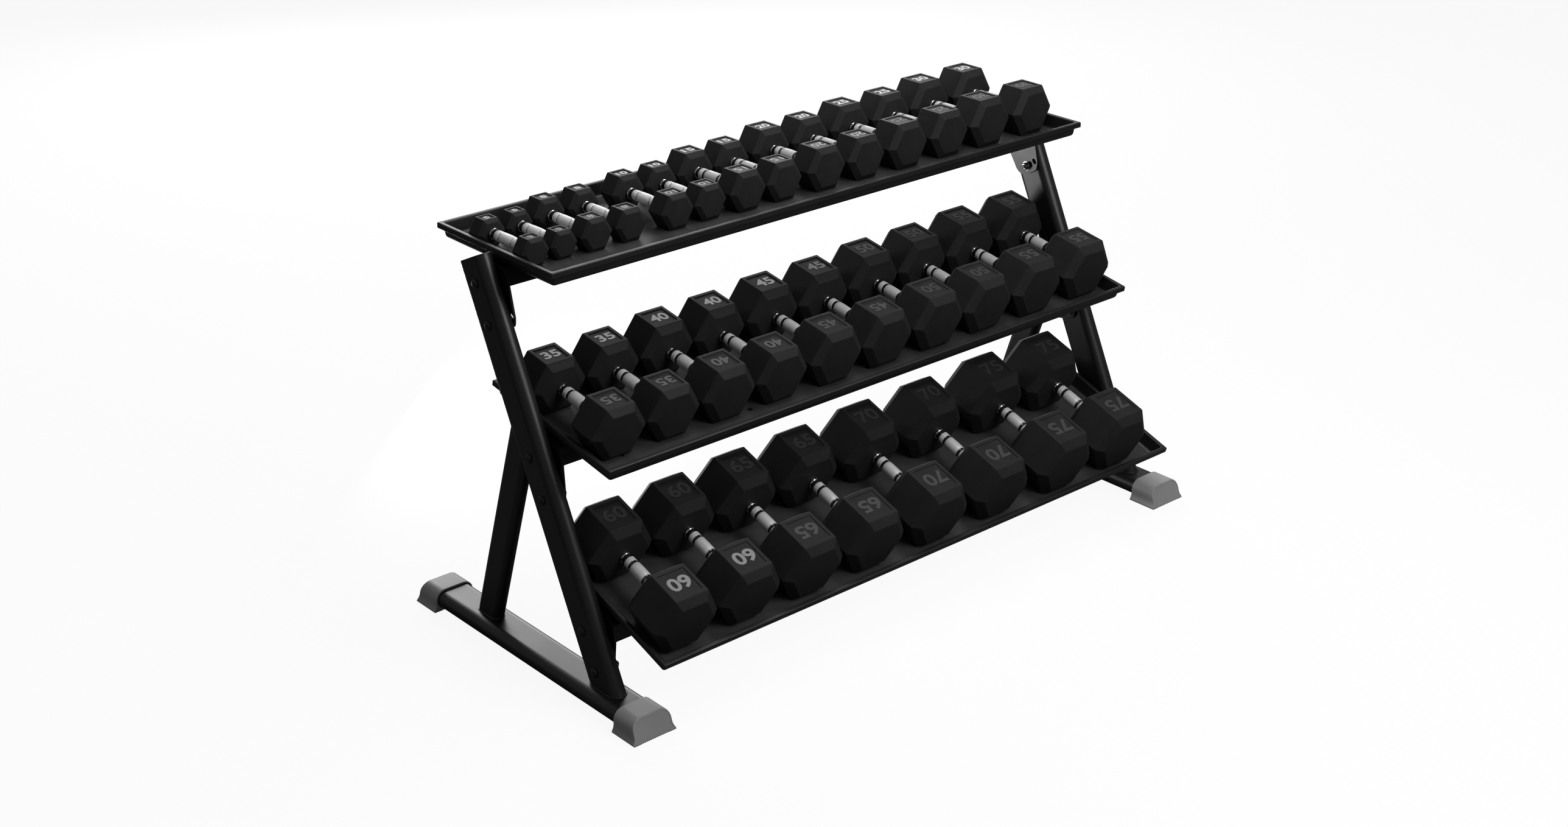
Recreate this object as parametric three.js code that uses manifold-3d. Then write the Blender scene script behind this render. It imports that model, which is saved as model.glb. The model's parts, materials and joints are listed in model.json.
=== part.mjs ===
// Three-tier dumbbell rack with its dumbbells, in millimetres, +Z up.
// +X runs along the trays, -Y is the side a person stands on, and the origin is on the floor under
// the middle of the rack. Two welded side frames carry three pressed trays. Each tray is fixed to a
// cradle whose two end ears hang on pivot bolts, so that the tray tilts forwards in three steps.
import * as THREE from "three";
import { mergeVertices } from "three/addons/utils/BufferGeometryUtils.js";
import Module from "manifold-3d";

const wasm = await Module();
wasm.setup();

// ---------- driving dimensions ----------
const clearance = 0.3; // between pieces that touch
const rowEndRoom = 4; // between the dumbbell nearest an upright and that upright
const baseLength = 832; // front to back over both foot caps
const baseSetBack = 7.3; // base tube's middle behind the rack's middle
const tubeDepth = 92; // flat-oval tube of the uprights and base tubes, long way
const tubeThickness = 42; // the same tube, short way
const tubeWall = 2.5;
const soleHeight = 6; // base tube above the floor
const uprightLean = 25.6; // degrees back from vertical
const uprightInset = 161.8; // upright's axis, at its foot, behind the base's front end
const uprightPastPivot = 51.5; // upright's end past the top pivot, along its axis
const endCapThickness = 4;
const legDepth = 74; // flat-oval tube of the rear leg
const legThickness = 32;
const legLean = -18.5; // degrees from vertical; the leg's top leans forwards
const legInset = 232; // leg's axis, at its foot, in front of the base's rear end
const legReach = 36; // how far the leg's axis runs past the upright's rear edge
const capLength = 79; // foot cap
const capFlare = 5.5; // its skirt spreads by this on each side, down to the floor
const capSetBack = 18; // its end face leans back by this, from the floor to the cap's top
const capTop = 5; // cap wall over the tube
const capEnd = 20; // thickness of its closed end at the floor
const firstPivot = 134.5; // lowest tray pivot, along the upright from its foot
const tierPitch = 385; // between tray pivots, along the upright
const tiltStep = 9.6; // degrees between two slots of an ear
const tiers = ["bottom", "middle", "top"];
const restSteps = { bottom: 2, middle: 1, top: 0 }; // forward tilt of each tray, in steps
const lockRadius = 92.6; // from the pivot to the tilt slots
const boltRadius = 6;
const boltPlay = 0.3; // radial, between a bolt and its holes
const boltHeadRadius = 11;
const boltHeadHeight = 5;
const nutRadius = 10;
const nutHeight = 12; // nut with its washer
const trayEndGap = 4.5; // between a tray's end and the upright
const headRoom = 24.3; // from the longest dumbbell's end to the tray's edge
const trayRise = 71; // tray rim above its pivot
const traySetForward = 2; // tray's middle in front of its pivot
const trayHeight = 35.5; // rim to underside
const sheet = 2.5; // tray sheet
const rimWidth = 10.6;
const hemHeight = 12.8; // turned-down edge of the rim
const wallSlope = 4; // how far the tray wall leans in on the way down
const drainCount = 5;
const drainEnd = 93.5; // from the tray's end to its first drain hole
const drainInset = 78; // from the tray's front edge
const drainRadius = 6;
const beamTopWidth = 88;
const beamBottomWidth = 120; // the flanges spread on the way down
const beamHeight = 35;
const beamSheet = 2.5;
const earThickness = 5;
const earGap = 1; // between an ear and its upright
const earMargin = 20; // metal below a slot's centre
const earSideMargin = 10; // metal beside a slot's centre
const slotWidth = 10.6;
const slotLength = 16;
const slotTilt = 25.6; // degrees forward of straight down, where the first slot is
const gripGap = 114; // between the two heads of a dumbbell
const handleRadius = { light: 13, heavy: 15 }; // up to and from fifteen pounds
const flatsPerRoot = 40; // head's width over its flats grows with the cube root of its weight
const flatsLess = 6;
const lengthPerRoot = 33; // and so does its length
const lengthLess = 9;
const bevelInward = 0.12; // end bevel, as shares of the width over the flats
const bevelAlong = 0.11;
const restGap = 0.4; // dumbbell above the tray floor

// Every tray's dumbbells from left to right: weight, then the gap to the one on its left.
const loads = {
  top: {
    setBack: 16,
    middle: 0,
    row: [
      [5, 0],
      [5, 1],
      [8, 1.2],
      [8, 6.8],
      [10, 35.5],
      [10, 1.2],
      [15, 1.4],
      [15, 1.2],
      [20, 9.3],
      [20, 6.5],
      [25, 5.7],
      [25, 9.8],
      [30, 1.6],
      [30, 13.4],
    ],
  },
  middle: {
    setBack: 8,
    middle: 0.5,
    row: [
      [35, 0],
      [35, 1.9],
      [40, 2.2],
      [40, 1],
      [45, 4.6],
      [45, 1],
      [50, 1],
      [50, 1],
      [55, 1],
      [55, 11],
    ],
  },
  bottom: {
    setBack: 4,
    middle: -31.5,
    row: [
      [60, 0],
      [60, 3.1],
      [65, 1.7],
      [65, 9.3],
      [70, 17.9],
      [70, 21.5],
      [75, 29.3],
      [75, 16.1],
    ],
  },
};

// ---------- sizes worked out from these ----------
const rad = THREE.MathUtils.degToRad;
const overFlats = (weight) => flatsPerRoot * Math.cbrt(weight) - flatsLess;
const overCorners = (weight) => (2 * overFlats(weight)) / Math.sqrt(3);
const headLength = (weight) => lengthPerRoot * Math.cbrt(weight) - lengthLess;
const rowLength = ({ row }) =>
  row.reduce((sum, [weight, gap]) => sum + gap + overCorners(weight), 0);
const rowReach = (load) => Math.abs(load.middle) + rowLength(load) / 2;
const heaviest = Math.max(...tiers.flatMap((tier) => loads[tier].row.map(([weight]) => weight)));

const baseTop = soleHeight + tubeThickness;
const uprightFoot = baseSetBack - baseLength / 2 + uprightInset;
const legFoot = baseSetBack + baseLength / 2 - legInset;
const uprightInner = Math.max(...tiers.map((tier) => rowReach(loads[tier]))) + rowEndRoom;
const uprightOuter = uprightInner + tubeThickness;
const frameSpacing = uprightInner + uprightOuter;
const pivotAt = (tier) => firstPivot + tiers.indexOf(tier) * tierPitch;
const uprightLength = pivotAt("top") + uprightPastPivot;
const earOuter = uprightInner - earGap;
const earInner = earOuter - earThickness;
const trayLength = 2 * (uprightInner - trayEndGap);
const trayDepth = gripGap + 2 * headLength(heaviest) + 2 * headRoom;
const floorDrop = trayHeight - sheet; // tray floor's upper face below the rim
const undersideDrop = trayHeight + clearance; // top of the cradle below the rim

// ---------- finishes ----------
const powderCoat = { color: 0x1b1c1e, roughness: 0.45, metalness: 0.1 };
const finishes = {
  frame: powderCoat,
  tray: { color: 0x26272a, roughness: 0.5, metalness: 0.1 },
  cap: { color: 0x6f7072, roughness: 0.6, metalness: 0 },
  endCap: { color: 0x303134, roughness: 0.6, metalness: 0 },
  bolt: { color: 0x2a2b2d, roughness: 0.35, metalness: 0.8 },
  rubber: { color: 0x202123, roughness: 0.75, metalness: 0 },
};

// ---------- solids ----------
// A closed geometry as a manifold-3d solid, for a cut or a join.
function solid(geometry) {
  const bare = geometry.clone();
  bare.deleteAttribute("normal");
  bare.deleteAttribute("uv");
  const merged = mergeVertices(bare, 1e-4);
  const vertProperties = new Float32Array(merged.attributes.position.array);
  const triVerts = new Uint32Array(merged.index.array);
  return new wasm.Manifold(new wasm.Mesh({ numProp: 3, vertProperties, triVerts }));
}

// A manifold-3d solid as a geometry again.
function geometryOf(body) {
  const mesh = body.getMesh();
  const geometry = new THREE.BufferGeometry();
  geometry.setAttribute("position", new THREE.BufferAttribute(mesh.vertProperties, 3));
  geometry.setIndex(new THREE.BufferAttribute(mesh.triVerts, 1));
  return geometry;
}

function cut(geometry, ...tools) {
  return geometryOf(tools.reduce((body, tool) => body.subtract(solid(tool)), solid(geometry)));
}

function join(...geometries) {
  return geometryOf(geometries.map(solid).reduce((body, other) => body.add(other)));
}

function piece(name, geometry, finish) {
  const mesh = new THREE.Mesh(geometry, new THREE.MeshStandardMaterial(finishes[finish]));
  mesh.name = name;
  return mesh;
}

// Flat-oval outline: straight sides along y, half-round ends.
function flatOval(thickness, depth, Path = THREE.Shape) {
  const r = thickness / 2;
  const straight = depth / 2 - r;
  const outline = new Path();
  outline.absarc(0, straight, r, 0, Math.PI, false);
  outline.absarc(0, -straight, r, Math.PI, 2 * Math.PI, false);
  outline.closePath();
  return outline;
}

const arcSteps = 8;

// Solid flat-oval bar along +Z from z = 0.
function ovalBar(thickness, depth, length) {
  const settings = { depth: length, bevelEnabled: false, curveSegments: arcSteps };
  return new THREE.ExtrudeGeometry(flatOval(thickness, depth), settings);
}

// Hollow flat-oval tube along +Z from z = 0.
function ovalTube(thickness, depth, length) {
  const outline = flatOval(thickness, depth);
  outline.holes.push(flatOval(thickness - 2 * tubeWall, depth - 2 * tubeWall, THREE.Path));
  const settings = { depth: length, bevelEnabled: false, curveSegments: arcSteps };
  return new THREE.ExtrudeGeometry(outline, settings);
}

// Round bar along X between two x values.
function crossBar(radius, xFrom, xTo, sides = 20) {
  const bar = new THREE.CylinderGeometry(radius, radius, Math.abs(xTo - xFrom), sides);
  return bar.rotateZ(Math.PI / 2).translate((xFrom + xTo) / 2, 0, 0);
}

function box(x, y, z) {
  return new THREE.BoxGeometry(x, y, z);
}

// ---------- side frames ----------
// The upright's frame: z along the tube from the base tube's top, y across its depth.
function uprightGroup(side) {
  const group = new THREE.Group();
  group.position.set((side * frameSpacing) / 2, uprightFoot, baseTop);
  group.rotation.x = -rad(uprightLean);
  return group;
}

function uprightGeometry() {
  const tail = tubeDepth; // cut off again along the base tube's top
  const tube = ovalTube(tubeThickness, tubeDepth, uprightLength + tail).translate(0, 0, -tail);
  const below = box(2 * tubeDepth, 6 * tubeDepth, 2 * tubeDepth)
    .translate(0, 0, clearance - tubeDepth)
    .rotateX(rad(uprightLean));
  const holes = tiers.flatMap((tier) =>
    [pivotAt(tier), pivotAt(tier) - lockRadius].map((z) =>
      crossBar(boltRadius + boltPlay, -tubeThickness, tubeThickness).translate(0, 0, z),
    ),
  );
  return cut(tube, below, ...holes);
}

// Closed plug in the open top of an upright, with a plate over the tube's edge.
function endCapGeometry() {
  const plate = ovalBar(tubeThickness, tubeDepth, endCapThickness);
  const inset = 2 * (tubeWall + clearance);
  const plug = ovalBar(tubeThickness - inset, tubeDepth - inset, 3 * endCapThickness);
  return join(plate.translate(0, 0, clearance), plug.translate(0, 0, -2.5 * endCapThickness));
}

function baseTubeGeometry() {
  const length = baseLength - 2 * (capEnd + clearance);
  return ovalTube(tubeThickness, tubeDepth, length)
    .translate(0, 0, -length / 2)
    .rotateZ(Math.PI / 2)
    .rotateX(Math.PI / 2)
    .translate(0, 0, soleHeight + tubeThickness / 2);
}

// Axis of the rear leg, cut flat on the base tube and coped round the upright's rear edge.
function rearLegGeometry() {
  const upright = ovalBar(tubeThickness + 2 * clearance, tubeDepth + 2 * clearance, 2 * uprightLength)
    .translate(0, 0, -uprightLength / 2)
    .rotateX(-rad(uprightLean))
    .translate(0, uprightFoot, baseTop);
  const spread = legFoot - uprightFoot - tubeDepth / 2 / Math.cos(rad(uprightLean));
  const rise = spread / (Math.tan(rad(uprightLean)) + Math.tan(-rad(legLean)));
  const length = rise / Math.cos(rad(legLean)) + legReach;
  const tail = legDepth;
  const leg = ovalTube(legThickness, legDepth, length + tail)
    .translate(0, 0, -tail)
    .rotateX(-rad(legLean))
    .translate(0, legFoot, baseTop);
  const below = box(2 * legDepth, 6 * legDepth, 2 * legDepth).translate(
    0,
    legFoot,
    baseTop + clearance - legDepth,
  );
  return cut(leg, upright, below);
}

// Half outline of a foot cap, from the middle of its top down to the floor: round shoulder, then a
// skirt that flares out to the floor.
function capOutline() {
  const top = baseTop + capTop;
  const shoulder = tubeThickness / 2 + capTop;
  const side = tubeDepth / 2 + capTop;
  const foot = side + capFlare;
  const outline = new THREE.Shape();
  outline.moveTo(-foot, 0);
  outline.lineTo(foot, 0);
  outline.lineTo(foot, 3);
  outline.quadraticCurveTo(side - 1, 12, side, top - shoulder);
  outline.absarc(side - shoulder, top - shoulder, shoulder, 0, Math.PI / 2, false);
  outline.absarc(shoulder - side, top - shoulder, shoulder, Math.PI / 2, Math.PI, false);
  outline.quadraticCurveTo(1 - side, 12, -foot, 3);
  outline.closePath();
  return outline;
}

// Foot cap that sleeves over a base tube's end; `front` is -1 for the front cap, 1 for the rear.
function footCapGeometry(front) {
  const settings = { depth: capLength, bevelEnabled: false, curveSegments: 6 };
  const shell = new THREE.ExtrudeGeometry(capOutline(), settings)
    .rotateX(Math.PI / 2)
    .translate(0, capLength / 2, 0);
  const corners = shell.attributes.position;
  for (let i = 0; i < corners.count; i++) {
    const [y, z] = [corners.getY(i), corners.getZ(i)];
    const lean = (capSetBack * z) / (baseTop + capTop);
    if (y * front > 0) corners.setY(i, y - front * lean);
  }
  const socket = ovalBar(tubeThickness + 2 * clearance, tubeDepth + 2 * clearance, capLength)
    .rotateZ(Math.PI / 2)
    .rotateX(Math.PI / 2)
    .translate(0, capLength / 2 - front * capEnd, soleHeight + tubeThickness / 2);
  return cut(shell, socket).translate(0, front * (baseLength / 2 - capLength / 2), 0);
}

// ---------- fasteners ----------
// Pivot bolt with its nut, along X: button head outside the upright, nut inside the ear.
function pivotBoltGeometry(side) {
  const head = uprightOuter + clearance;
  const nut = earInner - clearance;
  const shank = crossBar(boltRadius, side * (head + 1), side * (nut - nutHeight + 3));
  const button = crossBar(boltHeadRadius, side * head, side * (head + boltHeadHeight));
  return join(shank, button, crossBar(nutRadius, side * nut, side * (nut - nutHeight + 3), 6));
}

// ---------- trays ----------
// The tray's frame: origin on the pivot axis, z square to the tray floor, y towards its back edge.
function trayGroup(tier) {
  const along = pivotAt(tier);
  const group = new THREE.Group();
  group.name = "";
  group.position.set(
    0,
    uprightFoot + along * Math.sin(rad(uprightLean)),
    baseTop + along * Math.cos(rad(uprightLean)),
  );
  group.rotation.x = rad(restSteps[tier] * tiltStep);
  return group;
}

// Closed shell of rectangular rings: each station gives the inset from the tray's edge and its z.
// The first and the last ring are filled in.
function ringShell(stations) {
  const corners = [
    [-1, -1],
    [1, -1],
    [1, 1],
    [-1, 1],
  ];
  const position = stations.flatMap(([inset, z]) =>
    corners.flatMap(([x, y]) => [x * (trayLength / 2 - inset), y * (trayDepth / 2 - inset), z]),
  );
  const index = [0, 2, 1, 0, 3, 2];
  for (let ring = 0; ring < stations.length - 1; ring++) {
    for (let side = 0; side < 4; side++) {
      const a = 4 * ring + side;
      const b = 4 * ring + ((side + 1) % 4);
      index.push(a, b, b + 4, a, b + 4, a + 4);
    }
  }
  const last = 4 * (stations.length - 1);
  index.push(last, last + 1, last + 2, last, last + 2, last + 3);
  const geometry = new THREE.BufferGeometry();
  geometry.setAttribute("position", new THREE.Float32BufferAttribute(position, 3));
  geometry.setIndex(index);
  return geometry;
}

// Pressed tray: floor, walls that lean in, an outward rim and its turned-down hem.
function trayGeometry() {
  const wallTop = rimWidth - sheet;
  const shell = ringShell([
    [wallTop + wallSlope, -trayHeight],
    [wallTop, -sheet],
    [sheet, -sheet],
    [sheet, -hemHeight],
    [0, -hemHeight],
    [0, 0],
    [rimWidth, 0],
    [rimWidth + wallSlope, -floorDrop],
  ]);
  const drains = Array.from({ length: drainCount }, (_, i) =>
    new THREE.CylinderGeometry(drainRadius, drainRadius, 4 * trayHeight, 12)
      .rotateX(Math.PI / 2)
      .translate((i / (drainCount - 1) - 0.5) * (trayLength - 2 * drainEnd), drainInset - trayDepth / 2, 0),
  );
  return cut(shell, ...drains).translate(0, -traySetForward, trayRise);
}

// Outline of an ear in the tray's frame, pivot at the origin, with y as its first coordinate. The
// lower edge is an arc about the pivot, rounded off at both ends, and the sides run up to the beam.
function earOutline() {
  const top = trayRise - undersideDrop;
  const bottom = top - beamHeight;
  const reach = lockRadius + earMargin;
  const lastSlot = rad(slotTilt + 2 * tiltStep);
  const backEdge = rad(slotTilt) - earMargin / reach;
  const frontY = -lockRadius * Math.sin(lastSlot) - earSideMargin;
  const frontZ = -lockRadius * Math.cos(lastSlot);
  const arcStart = lastSlot - earSideMargin / reach;
  const down = -Math.PI / 2;
  const outline = new THREE.Shape();
  outline.moveTo(beamTopWidth / 2, top);
  outline.lineTo(-beamTopWidth / 2, top);
  outline.lineTo(-beamBottomWidth / 2, bottom);
  outline.lineTo(frontY, frontZ);
  outline.quadraticCurveTo(
    frontY,
    frontZ - earMargin * 0.8,
    -reach * Math.sin(arcStart),
    -reach * Math.cos(arcStart),
  );
  outline.absarc(0, 0, reach, down - arcStart, down - backEdge, false);
  outline.quadraticCurveTo(
    -reach * Math.sin(backEdge) + earMargin,
    -reach * Math.cos(backEdge),
    -reach * Math.sin(backEdge) + 1.5 * earMargin,
    -reach * Math.cos(backEdge) + earMargin,
  );
  outline.lineTo(beamBottomWidth / 2, bottom);
  outline.closePath();
  return outline;
}

// One ear: plate in the YZ plane with its pivot hole and three slots, from x = 0 to its thickness.
function earGeometry() {
  const settings = { depth: earThickness, bevelEnabled: false, curveSegments: 6 };
  const plate = new THREE.ExtrudeGeometry(earOutline(), settings);
  const through = { depth: 3 * earThickness, bevelEnabled: false, curveSegments: 5 };
  const slots = [0, 1, 2].map((step) =>
    new THREE.ExtrudeGeometry(flatOval(slotWidth, slotLength), through)
      .translate(0, -lockRadius, -earThickness)
      .rotateZ(-rad(slotTilt + step * tiltStep)),
  );
  const pivot = new THREE.CylinderGeometry(
    boltRadius + boltPlay,
    boltRadius + boltPlay,
    4 * earThickness,
    20,
  ).rotateX(Math.PI / 2);
  // The outline's first coordinate becomes y, its second z, and the thickness runs along x.
  return cut(plate, pivot, ...slots)
    .rotateX(Math.PI / 2)
    .rotateZ(Math.PI / 2);
}

// Welded cradle: folded beam, open below, under the tray floor and an ear on each end.
function cradleGeometry() {
  const top = trayRise - undersideDrop;
  const half = beamBottomWidth / 2;
  const lean = (beamBottomWidth - beamTopWidth) / 2;
  const section = new THREE.Shape();
  section.moveTo(-half, top - beamHeight);
  section.lineTo(beamSheet - half, top - beamHeight);
  section.lineTo(lean + beamSheet - half, top - beamSheet);
  section.lineTo(half - lean - beamSheet, top - beamSheet);
  section.lineTo(half - beamSheet, top - beamHeight);
  section.lineTo(half, top - beamHeight);
  section.lineTo(half - lean, top);
  section.lineTo(lean - half, top);
  section.closePath();
  const length = 2 * earInner + 2;
  const beam = new THREE.ExtrudeGeometry(section, { depth: length, bevelEnabled: false })
    .rotateX(Math.PI / 2)
    .rotateZ(Math.PI / 2)
    .translate(-length / 2, 0, 0);
  const ears = [earGeometry().translate(-earOuter, 0, 0), earGeometry().translate(earInner, 0, 0)];
  return join(beam, ...ears);
}

// ---------- dumbbells ----------
// Hexagonal head along Y with bevelled ends and two flats level, its middle at the origin.
function headGeometry(flats, length) {
  const corner = flats / Math.sqrt(3);
  const endCorner = corner * (1 - 2 * bevelInward);
  const along = bevelAlong * flats;
  const outline = [
    [0, -length / 2],
    [endCorner, -length / 2],
    [corner, along - length / 2],
    [corner, length / 2 - along],
    [endCorner, length / 2],
    [0, length / 2],
  ];
  const points = outline.map(([r, y]) => new THREE.Vector2(r, y));
  return new THREE.LatheGeometry(points, 6, Math.PI / 2);
}

function dumbbellGeometry(weight) {
  const length = headLength(weight);
  const radius = weight < 15 ? handleRadius.light : handleRadius.heavy;
  const reach = (gripGap + length) / 2;
  const handle = new THREE.CylinderGeometry(radius, radius, gripGap + length, 16);
  const heads = [-1, 1].map((end) =>
    headGeometry(overFlats(weight), length).translate(0, end * reach, 0),
  );
  return join(handle, ...heads);
}

// A tray's dumbbells, side by side and centred on the tray.
function dumbbellsOn(tier) {
  const { setBack, middle, row } = loads[tier];
  const counts = {};
  let x = middle - rowLength(loads[tier]) / 2;
  return row.map(([weight, gap]) => {
    x += gap + overCorners(weight) / 2;
    counts[weight] = (counts[weight] ?? 0) + 1;
    const letter = counts[weight] === 1 ? "left" : "right";
    const bell = piece(`dumbbell_${weight}_${letter}`, dumbbellGeometry(weight), "rubber");
    const height = trayRise - floorDrop + restGap + overFlats(weight) / 2;
    bell.position.set(x, setBack - traySetForward, height);
    x += overCorners(weight) / 2;
    return bell;
  });
}

// ---------- assembly ----------
const rack = new THREE.Group();

for (const [sideName, side] of [
  ["left", -1],
  ["right", 1],
]) {
  const frame = new THREE.Group();
  frame.position.x = (side * frameSpacing) / 2;
  frame.add(piece(`rear_leg_${sideName}`, rearLegGeometry(), "frame"));
  rack.add(frame);

  const base = new THREE.Group();
  base.position.set((side * frameSpacing) / 2, baseSetBack, 0);
  base.add(piece(`base_tube_${sideName}`, baseTubeGeometry(), "frame"));
  base.add(piece(`foot_cap_front_${sideName}`, footCapGeometry(-1), "cap"));
  base.add(piece(`foot_cap_rear_${sideName}`, footCapGeometry(1), "cap"));
  rack.add(base);

  const upright = uprightGroup(side);
  const endCap = piece(`end_cap_${sideName}`, endCapGeometry(), "endCap");
  endCap.position.z = uprightLength;
  upright.add(piece(`upright_${sideName}`, uprightGeometry(), "frame"), endCap);
  rack.add(upright);
}

for (const tier of tiers) {
  const tray = trayGroup(tier);
  tray.add(piece(`tray_${tier}`, trayGeometry(), "tray"));
  tray.add(piece(`cradle_${tier}`, cradleGeometry(), "frame"));
  tray.add(...dumbbellsOn(tier));
  tray.add(piece(`pivot_bolt_${tier}_left`, pivotBoltGeometry(-1), "bolt"));
  tray.add(piece(`pivot_bolt_${tier}_right`, pivotBoltGeometry(1), "bolt"));
  rack.add(tray);
}

export default rack;
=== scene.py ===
import json
import math

import bmesh
import bpy
from mathutils import Matrix, Vector


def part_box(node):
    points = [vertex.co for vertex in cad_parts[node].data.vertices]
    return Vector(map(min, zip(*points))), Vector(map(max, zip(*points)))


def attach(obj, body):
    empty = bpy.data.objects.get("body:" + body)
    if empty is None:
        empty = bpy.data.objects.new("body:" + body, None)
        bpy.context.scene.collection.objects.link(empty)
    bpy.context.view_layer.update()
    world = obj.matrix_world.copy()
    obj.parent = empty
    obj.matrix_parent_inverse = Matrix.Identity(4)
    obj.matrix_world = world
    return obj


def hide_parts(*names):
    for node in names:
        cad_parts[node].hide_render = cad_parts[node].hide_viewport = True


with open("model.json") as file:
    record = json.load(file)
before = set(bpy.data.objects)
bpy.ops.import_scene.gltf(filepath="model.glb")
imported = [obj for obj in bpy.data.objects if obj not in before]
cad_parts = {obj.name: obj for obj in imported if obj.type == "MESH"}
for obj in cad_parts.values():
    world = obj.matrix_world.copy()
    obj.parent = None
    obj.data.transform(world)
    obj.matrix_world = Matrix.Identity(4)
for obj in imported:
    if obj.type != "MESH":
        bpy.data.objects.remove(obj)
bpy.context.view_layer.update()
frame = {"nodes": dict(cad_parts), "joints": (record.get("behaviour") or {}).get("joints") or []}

MM = 0.001

# Viewpoint. The rack is seen from the front, to its left and from above head height, so that all
# three trays and the near side frame show.
view = bpy.data.cameras.new("view")
view.lens = 50.43
view.sensor_width = 36
view.clip_end = 60
viewer = bpy.data.objects.new("view", view)
azimuth, elevation = math.radians(-41.28), math.radians(24.31)
viewer.location = (-3.2111, -3.5285, 2.5151)
viewer.rotation_euler = (math.pi / 2 - elevation, 0, azimuth)
bpy.context.collection.objects.link(viewer)
bpy.context.scene.camera = viewer

# Base tubes. Flat-oval steel tube, 92 by 42, lying front to back on its broad face, powder coated
# satin black. The foot caps close its ends.
TUBE_DEPTH = 92 * MM
TUBE_THICKNESS = 42 * MM
SIDES = (("left", -1), ("right", 1))


def node_with(nodes, kind, **sockets):
    """A node of the given kind with its inputs set."""
    node = nodes.new(kind)
    for name, value in sockets.items():
        node.inputs[name].default_value = value
    return node


def coat_texture():
    """Node group: the fine ripple and faint clouding of a baked or moulded surface."""
    group = bpy.data.node_groups.new("coat_texture", "ShaderNodeTree")
    for name, way in (
        ("Ripple Scale", "INPUT"),
        ("Cloud Scale", "INPUT"),
        ("Height", "OUTPUT"),
        ("Cloud", "OUTPUT"),
    ):
        group.interface.new_socket(name, in_out=way, socket_type="NodeSocketFloat")
    nodes, links = group.nodes, group.links
    source = nodes.new("NodeGroupInput")
    result = nodes.new("NodeGroupOutput")
    place = nodes.new("ShaderNodeTexCoord")
    ripple = node_with(nodes, "ShaderNodeTexNoise", Detail=3.0, Roughness=0.55)
    cloud = node_with(nodes, "ShaderNodeTexNoise", Detail=4.0, Roughness=0.6)
    for noise, scale in ((ripple, "Ripple Scale"), (cloud, "Cloud Scale")):
        links.new(place.outputs["Object"], noise.inputs["Vector"])
        links.new(source.outputs[scale], noise.inputs["Scale"])
    links.new(ripple.outputs["Fac"], result.inputs["Height"])
    links.new(cloud.outputs["Fac"], result.inputs["Cloud"])
    return group


COAT_TEXTURE = coat_texture()
CLOUD_RANGE = (0.3, 0.7)  # the part of the noise that the clouding uses
RIPPLE_HEIGHT = 0.4 * MM


def ramp_between(material, factor, low, high):
    """The clouding factor, spread over its usual range, as values from low to high."""
    span = material.node_tree.nodes.new("ShaderNodeMapRange")
    span.inputs["From Min"].default_value = CLOUD_RANGE[0]
    span.inputs["From Max"].default_value = CLOUD_RANGE[1]
    span.inputs["To Min"].default_value = low
    span.inputs["To Max"].default_value = high
    material.node_tree.links.new(factor, span.inputs["Value"])
    return span.outputs["Result"]


def coated(name, dark, light, rough, ripple, depth, cloud=6.0, metallic=0.0, gloss=0.5):
    """Material with clouded colour and roughness and a fine ripple in its surface.

    dark and light are the two colours clouded together, rough the two roughnesses, ripple the
    ripples per metre and depth their strength."""
    material = bpy.data.materials.new(name)
    material.use_nodes = True
    nodes, links = material.node_tree.nodes, material.node_tree.links
    shader = nodes["Principled BSDF"]
    shader.inputs["Metallic"].default_value = metallic
    shader.inputs["Specular IOR Level"].default_value = gloss
    texture = nodes.new("ShaderNodeGroup")
    texture.node_tree = COAT_TEXTURE
    texture.inputs["Ripple Scale"].default_value = ripple
    texture.inputs["Cloud Scale"].default_value = cloud
    blend = nodes.new("ShaderNodeMix")
    blend.data_type = "RGBA"
    blend.inputs["A"].default_value = (*dark, 1)
    blend.inputs["B"].default_value = (*light, 1)
    links.new(ramp_between(material, texture.outputs["Cloud"], 0, 1), blend.inputs["Factor"])
    links.new(blend.outputs["Result"], shader.inputs["Base Color"])
    links.new(ramp_between(material, texture.outputs["Cloud"], *rough), shader.inputs["Roughness"])
    bump = nodes.new("ShaderNodeBump")
    bump.inputs["Strength"].default_value = depth
    bump.inputs["Distance"].default_value = RIPPLE_HEIGHT
    links.new(texture.outputs["Height"], bump.inputs["Height"])
    links.new(bump.outputs["Normal"], shader.inputs["Normal"])
    return material


powder_coat = coated(
    "powder_coat", (0.005, 0.005, 0.0055), (0.008, 0.008, 0.0085), (0.33, 0.40), 900, 0.05
)


def oval(thickness, depth, steps=14):
    """Flat-oval outline, counter-clockwise, its long way along y."""
    radius = thickness / 2
    straight = depth / 2 - radius
    points = []
    for centre, start in ((straight, 0.0), (-straight, math.pi)):
        for i in range(steps + 1):
            angle = start + math.pi * i / steps
            points.append(Vector((radius * math.cos(angle), centre + radius * math.sin(angle), 0)))
    return points


def even_shading(piece):
    """Keeps the large flat faces flat where they meet small rounded edges."""
    weighted = piece.modifiers.new("even_shading", "WEIGHTED_NORMAL")
    weighted.keep_sharp = True
    weighted.weight = 90


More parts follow.
